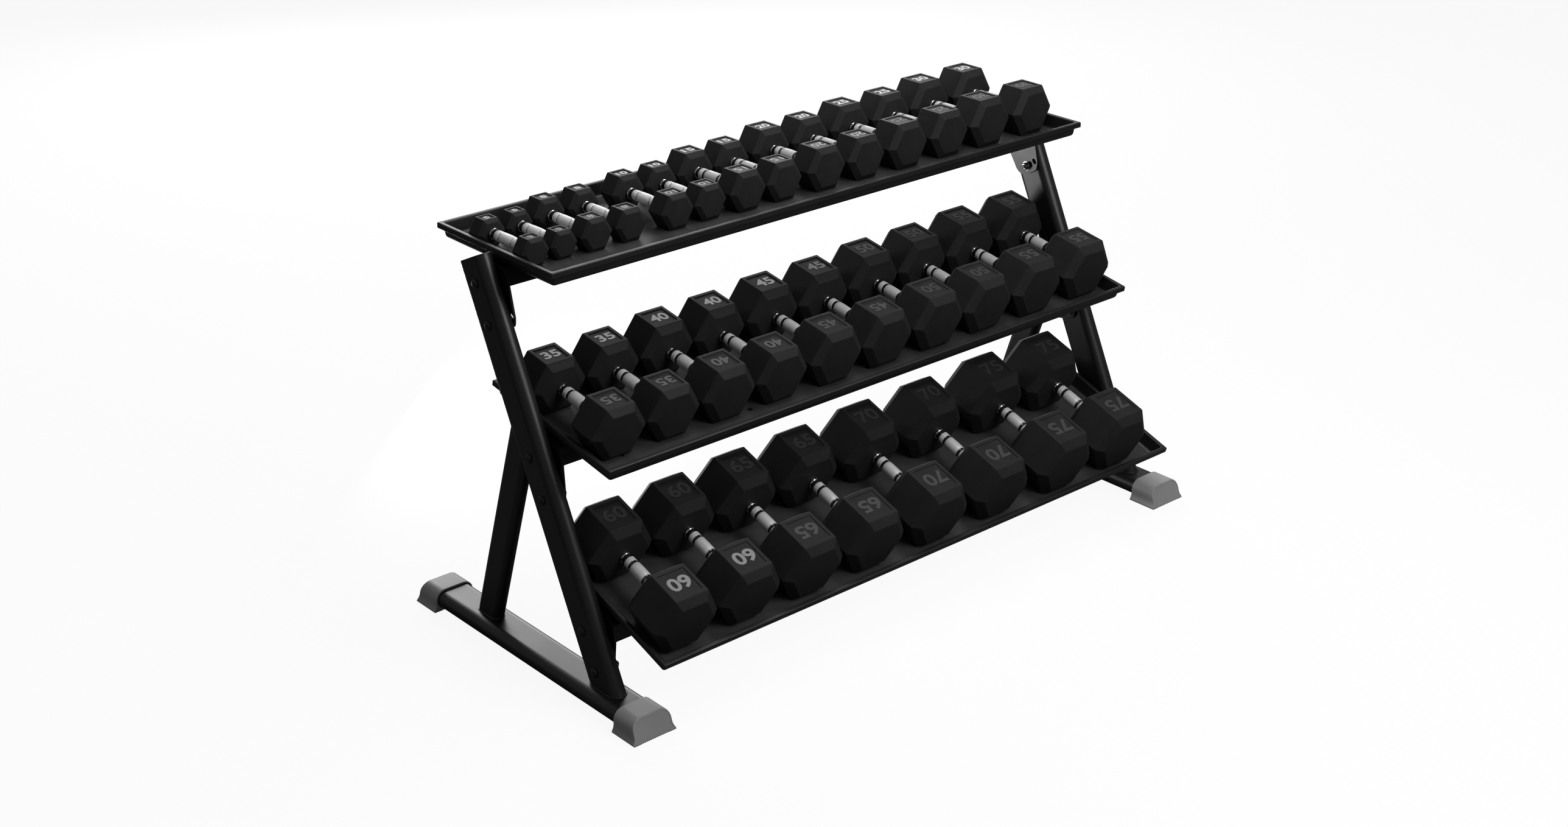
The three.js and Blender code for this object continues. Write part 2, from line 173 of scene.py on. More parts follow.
def loft(name, rings, material, place=None, caps=(True, True), sharp=35):
    """Mesh through rings of points, each joined to the next, with the first and last filled in."""
    mesh = bpy.data.meshes.new(name)
    bm = bmesh.new()
    rows = [[bm.verts.new(point) for point in ring] for ring in rings]
    count = len(rows[0])
    for low, high in zip(rows, rows[1:]):
        for i in range(count):
            j = (i + 1) % count
            bm.faces.new((low[i], low[j], high[j], high[i]))
    if caps[0]:
        bm.faces.new(rows[0][::-1])
    if caps[1]:
        bm.faces.new(rows[-1])
    bmesh.ops.recalc_face_normals(bm, faces=bm.faces)
    bm.to_mesh(mesh)
    bm.free()
    mesh.shade_smooth()
    mesh.set_sharp_from_angle(angle=math.radians(sharp))
    mesh.materials.append(material)
    piece = bpy.data.objects.new(name, mesh)
    bpy.context.collection.objects.link(piece)
    even_shading(piece)
    if place is not None:
        piece.matrix_world = place
    return piece


def at_height(outline, z, scale=1.0):
    """A copy of an outline, scaled about its middle and moved to z."""
    return [Vector((p.x * scale, p.y * scale, z)) for p in outline]


along_y = Matrix.Rotation(-math.pi / 2, 4, "X") @ Matrix.Rotation(math.pi / 2, 4, "Z")
for side, _ in SIDES:
    low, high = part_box(f"base_tube_{side}")
    middle = (low + high) / 2
    outline = oval(TUBE_THICKNESS, TUBE_DEPTH)
    span = (high.y - low.y) / 2
    tube = loft(
        f"{side}_base_tube",
        [at_height(outline, -span), at_height(outline, span)],
        powder_coat,
        Matrix.Translation(middle) @ along_y,
    )
    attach(tube, "frame")
    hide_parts(f"base_tube_{side}")
BASE_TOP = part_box("base_tube_left")[1].z

# Uprights. The same tube standing on the base tube and leaning back, cut to sit flat and welded
# all round its foot. A thin steel plate closes the top.
PLATE = 4 * MM
UPRIGHT_SPARE = 250 * MM  # drawn below the lowest pivot, then cut off flat
UPRIGHT_BEAD = 2.2 * MM
BEAD_STEPS = 8
pivots = {
    joint["name"].split("_")[0]: Vector(joint["pos_m"])
    for joint in frame["joints"]
    if joint["name"].endswith("_tray_tilt")
}
uphill = (pivots["top"] - pivots["bottom"]).normalized()


def tube_frame(point, along):
    """Placing matrix with z along a direction in the YZ plane and x across the rack."""
    across = Vector((1, 0, 0))
    square = along.cross(across)
    turn = Matrix((across, square, along)).transposed().to_4x4()
    return Matrix.Translation(point) @ turn


def cut_flat(piece, height):
    """Cuts a piece flat at a height above the floor and keeps what is above it."""
    bm = bmesh.new()
    bm.from_mesh(piece.data)
    bm.transform(piece.matrix_world)
    geometry = bm.verts[:] + bm.edges[:] + bm.faces[:]
    bmesh.ops.bisect_plane(
        bm, geom=geometry, plane_co=(0, 0, height), plane_no=(0, 0, 1), clear_inner=True
    )
    bm.transform(piece.matrix_world.inverted())
    bm.to_mesh(piece.data)
    bm.free()


def weld_bead(name, outline, place, along, radius):
    """Bead of weld round a tube's foot: a small rod along the outline where it meets the base."""
    up = Vector((0, 0, 1))
    ring = []
    for point in outline:
        start = place @ point
        reach = (BASE_TOP - start.z) / along.z
        ring.append(start + along * reach)
    rows = []
    count = len(ring)
    for i, point in enumerate(ring):
        ahead = (ring[(i + 1) % count] - ring[i - 1]).normalized()
        out = ahead.cross(up).normalized()
        turns = (2 * math.pi * k / BEAD_STEPS for k in range(BEAD_STEPS))
        rows.append([point + radius * (out * math.cos(a) + up * math.sin(a)) for a in turns])
    return loft(name, rows + rows[:1], powder_coat, caps=(False, False), sharp=80)


for side, _ in SIDES:
    low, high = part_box(f"upright_{side}")
    foot = Vector(((low.x + high.x) / 2, pivots["bottom"].y, pivots["bottom"].z))
    place = tube_frame(foot, uphill)
    outline = oval(TUBE_THICKNESS, TUBE_DEPTH)
    top = (high.z - foot.z - TUBE_DEPTH / 2 * abs(uphill.y)) / uphill.z
    ends = [at_height(outline, -UPRIGHT_SPARE), at_height(outline, top)]
    tube = loft(f"{side}_upright", ends, powder_coat, place)
    cut_flat(tube, BASE_TOP)
    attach(tube, "frame")
    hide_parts(f"upright_{side}")
    bead = weld_bead(f"{side}_upright_weld", outline, place, uphill, UPRIGHT_BEAD)
    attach(bead, "frame")
    edge = [(0.985, top), (1.0, top + 0.5 * MM), (1.0, top + PLATE - 1 * MM), (0.97, top + PLATE)]
    plate = loft(
        f"{side}_top_plate", [at_height(outline, z, scale) for scale, z in edge], powder_coat, place
    )
    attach(plate, "frame")
    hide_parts(f"end_cap_{side}")

# Rear legs. Smaller flat-oval tube that leans forwards from the back of the base tube and is coped
# and welded to the upright's rear edge.
LEG_DEPTH = 74 * MM
LEG_THICKNESS = 32 * MM
LEG_LEAN = math.radians(18.5)
LEG_FOOT = 191.3 * MM  # its axis, behind the rack's middle
LEG_SPARE = 100 * MM  # drawn below the base tube's top, then cut off flat
LEG_SHORT = 10 * MM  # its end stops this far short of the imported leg's highest point
LEG_BEAD = 2 * MM
leg_along = Vector((0, -math.sin(LEG_LEAN), math.cos(LEG_LEAN)))
for side, _ in SIDES:
    low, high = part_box(f"rear_leg_{side}")
    foot = Vector(((low.x + high.x) / 2, LEG_FOOT, BASE_TOP))
    place = tube_frame(foot, leg_along)
    outline = oval(LEG_THICKNESS, LEG_DEPTH)
    reach = (high.z - BASE_TOP) / leg_along.z - LEG_SHORT
    ends = [at_height(outline, -LEG_SPARE), at_height(outline, reach)]
    leg = loft(f"{side}_rear_leg", ends, powder_coat, place)
    cut_flat(leg, BASE_TOP)
    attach(leg, "frame")
    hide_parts(f"rear_leg_{side}")
    bead = weld_bead(f"{side}_leg_weld", outline, place, leg_along, LEG_BEAD)
    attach(bead, "frame")

# Foot caps. Grey moulded plastic sleeves over the ends of the base tubes, with round shoulders, a
# skirt that flares to the floor, an end face that leans back inside a raised edge, and a ribbed
# sole.
cap_plastic = coated(
    "cap_plastic", (0.30, 0.30, 0.305), (0.35, 0.35, 0.355), (0.48, 0.58), 1500, 0.07, gloss=0.4
)
CAP_SHOULDER = 26 * MM
CAP_FLARE = 5.5 * MM
CAP_SET_BACK = 18 * MM
CAP_EDGE = 3.4  # height of the upright edge round the sole, in millimetres
FLARE_HEIGHT = 18  # above that edge, in millimetres
FLARE_POWER = 2.4
FLARE_STEPS = 8
SHOULDER_STEPS = 10
SOLE_RIB = 1.3 * MM
RIB_PITCH = 5.2 * MM
RIB_COUNT = 15
RIB_WIDTH = 2.6 * MM
RIB_SHORT = 0.8 * MM  # ribs and pads end this much short of the cap, in all
PAD_SHARE = 0.16  # of the sole's width, for the pad along each side
PAD_INSET = 0.6 * MM
SEAM_GROWTH = 2.4 * MM  # wider and deeper than the tube
SEAM_HALF = 0.6 * MM
# How far in from the end, and in from the outline, each step of the end face lies, in millimetres.
CAP_END_STEPS = (
    (2.2, 0),
    (1.3, 0.2),
    (0.6, 0.7),
    (0.15, 1.4),
    (0, 2.4),
    (0.1, 3.1),
    (0.9, 3.5),
    (0.9, 4.1),
)


def cap_outline(half_foot, half_body, top, shrink):
    """Half-round-shouldered outline of a cap in x and z, drawn in by shrink."""
    right = [(half_foot - shrink - 0.6 * MM, SOLE_RIB), (half_foot - shrink, SOLE_RIB + 0.6 * MM)]
    right.append((half_foot - shrink, CAP_EDGE * MM))
    for i in range(1, FLARE_STEPS + 1):
        t = i / FLARE_STEPS
        flare = (half_foot - half_body) * (1 - t) ** FLARE_POWER
        right.append((half_body + flare - shrink, (CAP_EDGE + t * FLARE_HEIGHT) * MM))
    centre_x, centre_z = half_body - CAP_SHOULDER, top - CAP_SHOULDER
    for i in range(SHOULDER_STEPS + 1):
        angle = math.pi / 2 * i / SHOULDER_STEPS
        radius = CAP_SHOULDER - shrink
        right.append((centre_x + radius * math.cos(angle), centre_z + radius * math.sin(angle)))
    return right + [(-x, z) for x, z in reversed(right)]


for side, _ in SIDES:
    for end, facing in (("front", -1), ("rear", 1)):
        low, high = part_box(f"foot_cap_{end}_{side}")
        inner, outer = (high.y, low.y) if facing < 0 else (low.y, high.y)
        centre_x = (low.x + high.x) / 2
        half_foot = (high.x - low.x) / 2
        mouth = ((0, 1.6), (0.4, 0.6), (1.5, 0.0))
        stations = [(inner + facing * step * MM, shrink) for step, shrink in mouth]
        stations += [(outer - facing * step * MM, shrink) for step, shrink in CAP_END_STEPS]
        rings = []
        for i, (y, shrink) in enumerate(stations):
            outline = cap_outline(half_foot, half_foot - CAP_FLARE, high.z, shrink * MM)
            lean = -facing * CAP_SET_BACK / high.z if i >= len(mouth) else 0
            rings.append([Vector((centre_x + x, y + lean * z, z)) for x, z in outline])
        cap = loft(f"{side}_{end}_foot_cap", rings, cap_plastic, sharp=50)
        ribs = bmesh.new()
        pad = PAD_SHARE * 2 * half_foot
        strips = [(side_of * (half_foot - pad / 2 - PAD_INSET), pad) for side_of in (-1, 1)]
        strips += [((i - (RIB_COUNT - 1) / 2) * RIB_PITCH, RIB_WIDTH) for i in range(RIB_COUNT)]
        for x, wide in strips:
            spot = Matrix.Translation((centre_x + x, (low.y + high.y) / 2, SOLE_RIB / 2))
            spread = Matrix.Diagonal((wide, high.y - low.y - RIB_SHORT, SOLE_RIB, 1))
            bmesh.ops.create_cube(ribs, size=1, matrix=spot @ spread)
        rib_mesh = bpy.data.meshes.new(f"{side}_{end}_sole_ribs")
        ribs.to_mesh(rib_mesh)
        ribs.free()
        rib_mesh.materials.append(cap_plastic)
        sole = bpy.data.objects.new(rib_mesh.name, rib_mesh)
        bpy.context.collection.objects.link(sole)
        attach(sole, "frame")
        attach(cap, "frame")
        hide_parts(f"foot_cap_{end}_{side}")
        seam_ring = oval(TUBE_THICKNESS + SEAM_GROWTH, TUBE_DEPTH + SEAM_GROWTH)
        seam_middle = (centre_x, inner - facing * SEAM_HALF, BASE_TOP - TUBE_THICKNESS / 2)
        seam = loft(
            f"{side}_{end}_cap_seam",
            [at_height(seam_ring, -SEAM_HALF), at_height(seam_ring, SEAM_HALF)],
            powder_coat,
            Matrix.Translation(seam_middle) @ along_y,
        )
        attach(seam, "frame")

# Bolts. Black domed bolts with zinc nuts and washers: one through each upright and ear as the
# tray's pivot, and one below it that locks the ear in one of its three slots.
bolt_black = coated(
    "bolt_black", (0.02, 0.02, 0.021), (0.03, 0.03, 0.032), (0.28, 0.36), 1200, 0.05, metallic=0.6
)
nut_zinc = coated(
    "nut_zinc", (0.30, 0.30, 0.31), (0.42, 0.42, 0.43), (0.25, 0.35), 900, 0.06, metallic=1.0
)
LOCK_RADIUS = 92.6 * MM  # from the pivot down to the lock bolt
SHANK_LENGTH = 62
HEAD_GAP = 0.3 * MM  # under the bolt's head
NUT_OFFSET = 6.35 * MM  # the ear and its play, between the upright and the nut
ROUND_STEPS = 28
# Radius and height, in millimetres.
HEAD_DOME = [(11, 0), (11, 1.3), (10.4, 2.2), (9, 3.4), (7, 4.5), (4.5, 5.2), (2, 5.5), (0.3, 5.6)]
NUT_PROFILE = [(12, 0), (12, 1.8), (9.6, 2), (9.6, 9), (8.4, 10), (6.6, 10.4), (6.2, 10.4)]


def turned(name, profile, material, place, around=ROUND_STEPS, sharp=35):
    """Turned piece: rings of the profile's radii, in millimetres, along z."""
    rings = []
    for radius, z in profile:
        angles = (2 * math.pi * i / around for i in range(around))
        circle = ((radius * MM * math.cos(a), radius * MM * math.sin(a)) for a in angles)
        rings.append([Vector((x, y, z * MM)) for x, y in circle])
    return loft(name, rings, material, place, sharp=sharp)


for tier, pivot in pivots.items():
    for side, sign in SIDES:
        low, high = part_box(f"upright_{side}")
        outer = high.x if sign > 0 else low.x
        inner = low.x if sign > 0 else high.x
        outwards = Matrix.Rotation(sign * math.pi / 2, 4, "Y")
        inwards = Matrix.Rotation(-sign * math.pi / 2, 4, "Y")
        for use, point, shank in (("pivot", pivot, 6), ("lock", pivot - uphill * LOCK_RADIUS, 5)):
            head_place = Matrix.Translation((outer + sign * HEAD_GAP, point.y, point.z)) @ outwards
            profile = [(shank, -SHANK_LENGTH), (shank, 0)] + HEAD_DOME
            bolt = turned(f"{tier}_{side}_{use}_bolt", profile, bolt_black, head_place)
            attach(bolt, "frame")
            if use == "pivot":
                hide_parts(f"pivot_bolt_{tier}_{side}")
            nut_x = inner - sign * NUT_OFFSET
            nut_place = Matrix.Translation((nut_x, point.y, point.z)) @ inwards
            nut = turned(f"{tier}_{side}_{use}_nut", NUT_PROFILE, nut_zinc, nut_place)
            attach(nut, "frame")

# Cradles. Folded steel beam under each tray with an ear welded to each end, powder coated with the
# frame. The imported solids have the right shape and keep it.
TIERS = ("top", "middle", "bottom")
for tier in TIERS:
    cradle = frame["nodes"][f"cradle_{tier}"]
    cradle.data.materials.clear()
    cradle.data.materials.append(powder_coat)

# Trays. Pressed steel, powder coated: a flat floor with a rougher coat, painted paler than the rest
# as painted light from above, walls that lean in, a flat rim turned outwards and down into a hem,
# and five drain holes along the front, each with a black push-in plug.
tray_coat = coated(
    "tray_coat", (0.007, 0.007, 0.0075), (0.010, 0.010, 0.0105), (0.42, 0.5), 800, 0.1
)
# The floor's coat: rougher than the rest, and painted several times paler as painted light falling
# from above.
tray_floor = coated(
    "tray_floor", (0.034, 0.034, 0.0345), (0.050, 0.050, 0.0505), (0.44, 0.58), 800, 0.12, cloud=18
)
plug_plastic = coated(
    "plug_plastic", (0.003, 0.003, 0.003), (0.004, 0.004, 0.004), (0.7, 0.8), 900, 0.1, gloss=0.1
)
TILT = {"top": 0.0, "middle": math.radians(9.6), "bottom": math.radians(19.2)}
RIM_HEIGHT = 71 * MM  # above the pivot
TRAY_FORWARD = 2 * MM
TRAY_DEPTH = 423.03 * MM
TRAY_FLOOR = -32 * MM  # the floor's upper face lies below this, from the rim
DRAINS = 5
DRAIN_END = 93.5 * MM  # from the tray's end to its first drain hole
DRAIN_INSET = 78 * MM  # from the tray's front edge
DRAIN_RADIUS = 6 * MM
DRILL_MIDDLE = -34 * MM
DRILL_LENGTH = 20 * MM
# Radius and height below the rim, in millimetres: a low dome, just under the floor's upper face.
PLUG_PROFILE = [
    (5.0, -35.4),
    (5.8, -35.2),
    (5.8, -34.2),
    (5.3, -33.7),
    (3.6, -33.45),
    (0.4, -33.35),
]
# Inset from the tray's edge and height below the rim, in millimetres, from the underside out,
# round the hem, over the rim and down to the floor.
TRAY_SECTION = [
    (22, -35.5),
    (18, -35.3),
    (14.6, -33.8),
    (12.4, -31),
    (11.4, -27.5),
    (8.6, -4),
    (7.6, -2.8),
    (3.4, -2.5),
    (2.5, -3.2),
    (2.5, -12.2),
    (1.9, -12.8),
    (0.6, -12.8),
    (0, -12.2),
    (0, -2.4),
    (0.5, -0.9),
    (1.6, -0.1),
    (2.8, 0),
    (8.6, 0),
    (10.2, -0.6),
    (11, -2),
    (11.4, -4),
    (14, -26),
    (15, -29.5),
    (17.4, -32),
    (20.6, -33),
    (26, -33),
]


def tray_ring(half_x, half_y, corner, z):
    """Rectangle with rounded corners, as points at height z."""
    points = []
    for sx, sy, start in ((1, 1, 0), (-1, 1, 90), (-1, -1, 180), (1, -1, 270)):
        for i in range(5):
            angle = math.radians(start + 90 * i / 4)
            x = sx * (half_x - corner) + corner * math.cos(angle)
            y = sy * (half_y - corner) + corner * math.sin(angle)
            points.append(Vector((x, y, z)))
    return points


def tray_matrix(tier):
    """The tray's frame: its pivot, tilted with the tray."""
    return Matrix.Translation(pivots[tier]) @ Matrix.Rotation(TILT[tier], 4, "X")


def drain_spots(half_x, half_y, z):
    """Placing matrices of the drain holes in the tray's frame, left to right, at height z."""
    shares = ((i / (DRAINS - 1) - 0.5) * 2 for i in range(DRAINS))
    return [
        Matrix.Translation((share * (half_x - DRAIN_END), DRAIN_INSET - half_y, z))
        for share in shares
    ]


for tier in TIERS:
    low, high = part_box(f"tray_{tier}")
    half_x = (high.x - low.x) / 2
    half_y = TRAY_DEPTH / 2
    rings = []
    for inset, z in TRAY_SECTION:
        corner = 2.5 if inset < 5 else 5
        rings.append(tray_ring(half_x - inset * MM, half_y - inset * MM, corner * MM, z * MM))
    place = tray_matrix(tier) @ Matrix.Translation((0, -TRAY_FORWARD, RIM_HEIGHT))
    tray = loft(f"{tier}_tray", rings, tray_coat, place, sharp=40)
    drill = bmesh.new()
    for spot in drain_spots(half_x, half_y, DRILL_MIDDLE):
        bmesh.ops.create_cone(
            drill,
            cap_ends=True,
            segments=24,
            radius1=DRAIN_RADIUS,
            radius2=DRAIN_RADIUS,
            depth=DRILL_LENGTH,
            matrix=spot,
        )
    drill_mesh = bpy.data.meshes.new("drill")
    drill.to_mesh(drill_mesh)
    drill.free()
    driller = bpy.data.objects.new("drill", drill_mesh)
    bpy.context.collection.objects.link(driller)
    driller.matrix_world = place
    bores = tray.modifiers.new("drains", "BOOLEAN")
    bores.operation = "DIFFERENCE"
    bores.solver = "EXACT"
    bores.object = driller
    bpy.context.view_layer.update()
    drilled = bpy.data.meshes.new_from_object(
        tray.evaluated_get(bpy.context.evaluated_depsgraph_get())
    )
    tray.modifiers.clear()
    drilled.materials.append(tray_floor)
    # The floor's upward faces take the paler coat: painted light from above.
    for face in drilled.polygons:
        if face.normal.z > 0.9 and face.center.z < TRAY_FLOOR:
            face.material_index = 1
    tray.data = drilled
    even_shading(tray)
    bpy.data.objects.remove(driller)
    for number, spot in enumerate(drain_spots(half_x, half_y, 0), 1):
        plug_name = f"{tier}_tray_plug_{number}"
        plug = turned(plug_name, PLUG_PROFILE, plug_plastic, place @ spot, around=24)
        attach(plug, f"{tier}_tray")
    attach(tray, f"{tier}_tray")
    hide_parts(f"tray_{tier}")

# Dumbbell heads. Six-sided iron heads under black rubber, with bevelled ends, soft edges and a
# sunk panel on the upper flat that carries the weight in raised pale numerals.
head_rubber = coated(
    "head_rubber",
    (0.017, 0.017, 0.0175),
    (0.023, 0.023, 0.0235),
    (0.48, 0.58),
    1300,
    0.15,
    cloud=14,
    gloss=0.13,
)
GRIP_GAP = 114  # between a dumbbell's heads, in millimetres
LENGTH_PER_ROOT = 33  # a head's length grows with the cube root of its weight
LENGTH_LESS = 9
BEVEL_ALONG = 0.11  # end bevel, as a share of the width over the flats
BEVEL_END = 0.76  # the end face, as a share of the full section
PANEL_DEPTH = 1.8 * MM
NUMERAL_THICKNESS = 0.9 * MM
# Least weight, then the numerals' width and height as shares of the width over the flats.
NUMERAL_SHARES = ((60, 0.38, 0.25), (10, 0.35, 0.225), (0, 0.2, 0.225))
# Paleness of the numerals' paint at each level of painted light and shade on the heads.
NUMERAL_LIGHT_AND_SHADE = (
    ("bright", 0.50),
    ("clear", 0.24),
    ("middling", 0.07),
    ("faint", 0.036),
    ("dim", 0.024),
)
numeral_lit_and_shaded = {
    name: coated(f"numeral_{name}", (v,) * 3, (v * 1.15,) * 3, (0.5, 0.6), 1500, 0.1)
    for name, v in NUMERAL_LIGHT_AND_SHADE
}
ROWS = {
    "top": (5, 8, 10, 15, 20, 25, 30),
    "middle": (35, 40, 45, 50, 55),
    "bottom": (60, 65, 70, 75),
}


def head_length(weight):
    """Length of one head, in millimetres."""
    return LENGTH_PER_ROOT * weight ** (1 / 3) - LENGTH_LESS


def head_mesh(weight, flats):
    """One head, its middle at the origin and its axis along y, in metres."""
    length = head_length(weight) * MM
    corner = flats / math.sqrt(3)
    bevel_along = BEVEL_ALONG * flats
    bm = bmesh.new()
    rings = []
    stations = (
        (-length / 2, BEVEL_END),
        (bevel_along - length / 2, 1.0),
        (length / 2 - bevel_along, 1.0),
        (length / 2, BEVEL_END),
    )
    for y, share in stations:
        angles = (math.radians(60 * k) for k in range(6))
        hexagon = ((corner * share * math.cos(a), corner * share * math.sin(a)) for a in angles)
        rings.append([bm.verts.new((x, y, z)) for x, z in hexagon])
    for near, far in zip(rings, rings[1:]):
        for i in range(6):
            j = (i + 1) % 6
            bm.faces.new((near[i], near[j], far[j], far[i]))
    bm.faces.new(rings[0])
    bm.faces.new(rings[-1][::-1])
    bmesh.ops.recalc_face_normals(bm, faces=bm.faces)
    soft = 0.7 * MM + 0.007 * flats
    bmesh.ops.bevel(bm, geom=bm.edges[:], offset=soft, segments=3, profile=0.5, affect="EDGES")
    bm.faces.ensure_lookup_table()
    upper = max(bm.faces, key=lambda f: f.calc_area() * (f.normal.z > 0.99))
    border = 0.06 * flats + 1 * MM
    bmesh.ops.inset_region(bm, faces=[upper], thickness=border, depth=0)
    bmesh.ops.inset_region(bm, faces=[upper], thickness=0.5 * MM, depth=-PANEL_DEPTH)
    mesh = bpy.data.meshes.new(f"head_{weight}")
    bm.to_mesh(mesh)
    bm.free()
    return mesh


def numeral_mesh(weight, flats):
    """The weight's numerals as a raised slab, flat in x and y and centred."""
    text = bpy.data.curves.new(f"numerals_{weight}", "FONT")
    text.body = str(weight)
    text.size = 1
    text.offset = 0.028
    text.extrude = 0.5
    text.resolution_u = 5
    holder = bpy.data.objects.new("numerals", text)
    bpy.context.collection.objects.link(holder)
    bpy.context.view_layer.update()
    mesh = bpy.data.meshes.new_from_object(
        holder.evaluated_get(bpy.context.evaluated_depsgraph_get())
    )
    bpy.data.objects.remove(holder)
    xs = [v.co.x for v in mesh.vertices]
    ys = [v.co.y for v in mesh.vertices]
    wide, tall = next(
        (across * flats, along * flats)
        for least, across, along in NUMERAL_SHARES
        if weight >= least
    )
    shift = Matrix.Translation((-(min(xs) + max(xs)) / 2, -(min(ys) + max(ys)) / 2, 0))
    stretch = (wide / (max(xs) - min(xs)), tall / (max(ys) - min(ys)))
    size = Matrix.Diagonal((*stretch, NUMERAL_THICKNESS, 1))
    mesh.transform(size @ shift)
    return mesh


def numeral_tone(weight, side, end):
    """How pale one head's numerals are painted: painted light and shade over their pale paint,
    brightest on the rear heads up to 45 and dimmer on the front heads and the heavier rear heads.
    """
    if end == "rear":
        if weight <= 45:
            return "clear" if (weight, side) == (45, "right") else "bright"
        return "middling" if (weight, side) == (50, "left") else "dim"
    if weight == 60 or weight <= 20:
        return "clear"
    return "dim" if weight == 50 else "middling" if weight <= 40 else "faint"


def joined(name, parts):
    """One mesh of several (mesh, matrix, material), keeping each one's material."""
    bm = bmesh.new()
    mesh = bpy.data.meshes.new(name)
    for part, matrix, material in parts:
        copy = part.copy()
        copy.transform(matrix)
        if material.name not in mesh.materials:
            mesh.materials.append(material)
        index = mesh.materials.find(material.name)
        before = len(bm.faces)
        bm.from_mesh(copy)
        bm.faces.ensure_lookup_table()
        for face in bm.faces[before:]:
            face.material_index = index
        bpy.data.meshes.remove(copy)
    bm.to_mesh(mesh)
    bm.free()
    mesh.shade_smooth()
    mesh.set_sharp_from_angle(angle=math.radians(28))
    return mesh


def dumbbell_place(node, tier):
    """A dumbbell's middle, tilted with its tray."""
    low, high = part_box(node)
    return Matrix.Translation((low + high) / 2) @ Matrix.Rotation(TILT[tier], 4, "X")


half_turn = Matrix.Rotation(math.pi, 4, "Z")
for tier in TIERS:
    for weight in ROWS[tier]:
        low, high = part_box(f"dumbbell_{weight}_left")
        flats = (high.x - low.x) * math.sqrt(3) / 2
        head = head_mesh(weight, flats)
        numerals = numeral_mesh(weight, flats)
        reach = (GRIP_GAP + head_length(weight)) / 2 * MM
        lift = flats / 2 - PANEL_DEPTH
        for side, _ in SIDES:
            node = f"dumbbell_{weight}_{side}"
            parts = []
            for end, facing in (("front", -1), ("rear", 1)):
                spot = Matrix.Translation((0, facing * reach, 0))
                raised = Matrix.Translation((0, facing * reach, lift))
                # Numeral paint for this head, lit or shaded by painted light and shade.
                paint = numeral_lit_and_shaded[numeral_tone(weight, side, end)]
                parts.append((head, spot, head_rubber))
                turn = half_turn if end == "front" else Matrix()
                parts.append((numerals, raised @ turn, paint))
            name = f"heads_{weight}_{side}"
            heads = bpy.data.objects.new(name, joined(name, parts))
            bpy.context.collection.objects.link(heads)
            even_shading(heads)
            heads.matrix_world = dumbbell_place(node, tier)
            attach(heads, node)
            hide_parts(node)

# Dumbbell handles. Steel bar with a satin barrel, a polished groove and a satin band at each end of
# it, then a black rubber ring and a chromed bead against each head. Barrel and bands are drawn pale
# and nearly matt, their paleness a painted reflection of bright surroundings; the heavy handles'
# groove is painted near black, a painted reflection of dark surroundings.
handle_chrome = coated(
    "handle_chrome", (0.70, 0.70, 0.71), (0.78, 0.78, 0.79), (0.1, 0.16), 500, 0.03, metallic=1.0
)
# Barrel and band finish of the heavy handles: a pale, nearly matt grey whose paleness is painted
# reflection of bright surroundings.
grey_painted_sheen = coated(
    "grey_painted_sheen", (0.64, 0.64, 0.645), (0.72, 0.72, 0.725), (0.36, 0.44), 2200, 0.12, metallic=0.1
)
# Barrel and band finish of the light handles: nearly matt, near white paint, a painted reflection
# of bright surroundings.
pale_painted_sheen = coated(
    "pale_painted_sheen",
    (0.90, 0.90, 0.905),
    (0.94, 0.94, 0.945),
    (0.3, 0.38),
    2200,
    0.08,
    metallic=0.05,
)
# Groove of the heavy handles: polished chrome drawn as glossy near black paint, a painted
# reflection of dark surroundings.
groove_painted_dark_reflection = coated(
    "groove_painted_dark_reflection", (0.015, 0.015, 0.015), (0.020, 0.020, 0.020), (0.1, 0.15), 500, 0.03, gloss=0.8
)
ring_rubber = coated(
    "ring_rubber", (0.006, 0.006, 0.006), (0.009, 0.009, 0.009), (0.4, 0.5), 1500, 0.1
)
HEAVY_HANDLE_FROM = 15  # the lightest weight with the thicker handle
# Half of each handle from the middle outwards: finish, then radius and distance in millimetres.
HANDLE_LIGHT = (
    (pale_painted_sheen, ((13.0, 0), (12.9, 12), (12.5, 19.4), (12.0, 20.4), (11.3, 20.6))),
    (handle_chrome, ((11.3, 20.6), (11.1, 21.2), (11.1, 23.8), (11.3, 24.4))),
    (
        pale_painted_sheen,
        ((11.3, 24.4), (12.1, 24.7), (12.3, 25.6), (12.1, 38), (11.6, 39), (10.4, 39.2)),
    ),
    (ring_rubber, ((10.4, 39.2), (11.6, 40), (11.8, 44), (11.5, 49.6), (10.4, 50))),
    (
        handle_chrome,
        (
            (10.4, 50),
            (12.0, 50.4),
            (12.9, 51.8),
            (13.0, 53.4),
            (12.6, 55.2),
            (11.6, 56),
            (11.6, 58),
        ),
    ),
)
HANDLE_HEAVY = (
    (grey_painted_sheen, ((14.8, 0), (14.7, 10), (14.4, 19.4), (13.8, 20.5), (12.6, 20.7))),
    (groove_painted_dark_reflection, ((12.6, 20.7), (12.3, 21.6), (12.3, 27.4), (12.6, 28.3))),
    (
        grey_painted_sheen,
        ((12.6, 28.3), (13.7, 28.6), (14.0, 29.4), (13.8, 40), (13.2, 41), (11.8, 41.2)),
    ),
    (ring_rubber, ((11.8, 41.2), (12.7, 42), (12.9, 46), (12.5, 50), (11.6, 50.4))),
    (
        handle_chrome,
        (
            (11.6, 50.4),
            (13.3, 50.8),
            (14.1, 52.2),
            (14.3, 53.6),
            (13.9, 55.2),
            (12.9, 56),
            (12.9, 58),
        ),
    ),
)


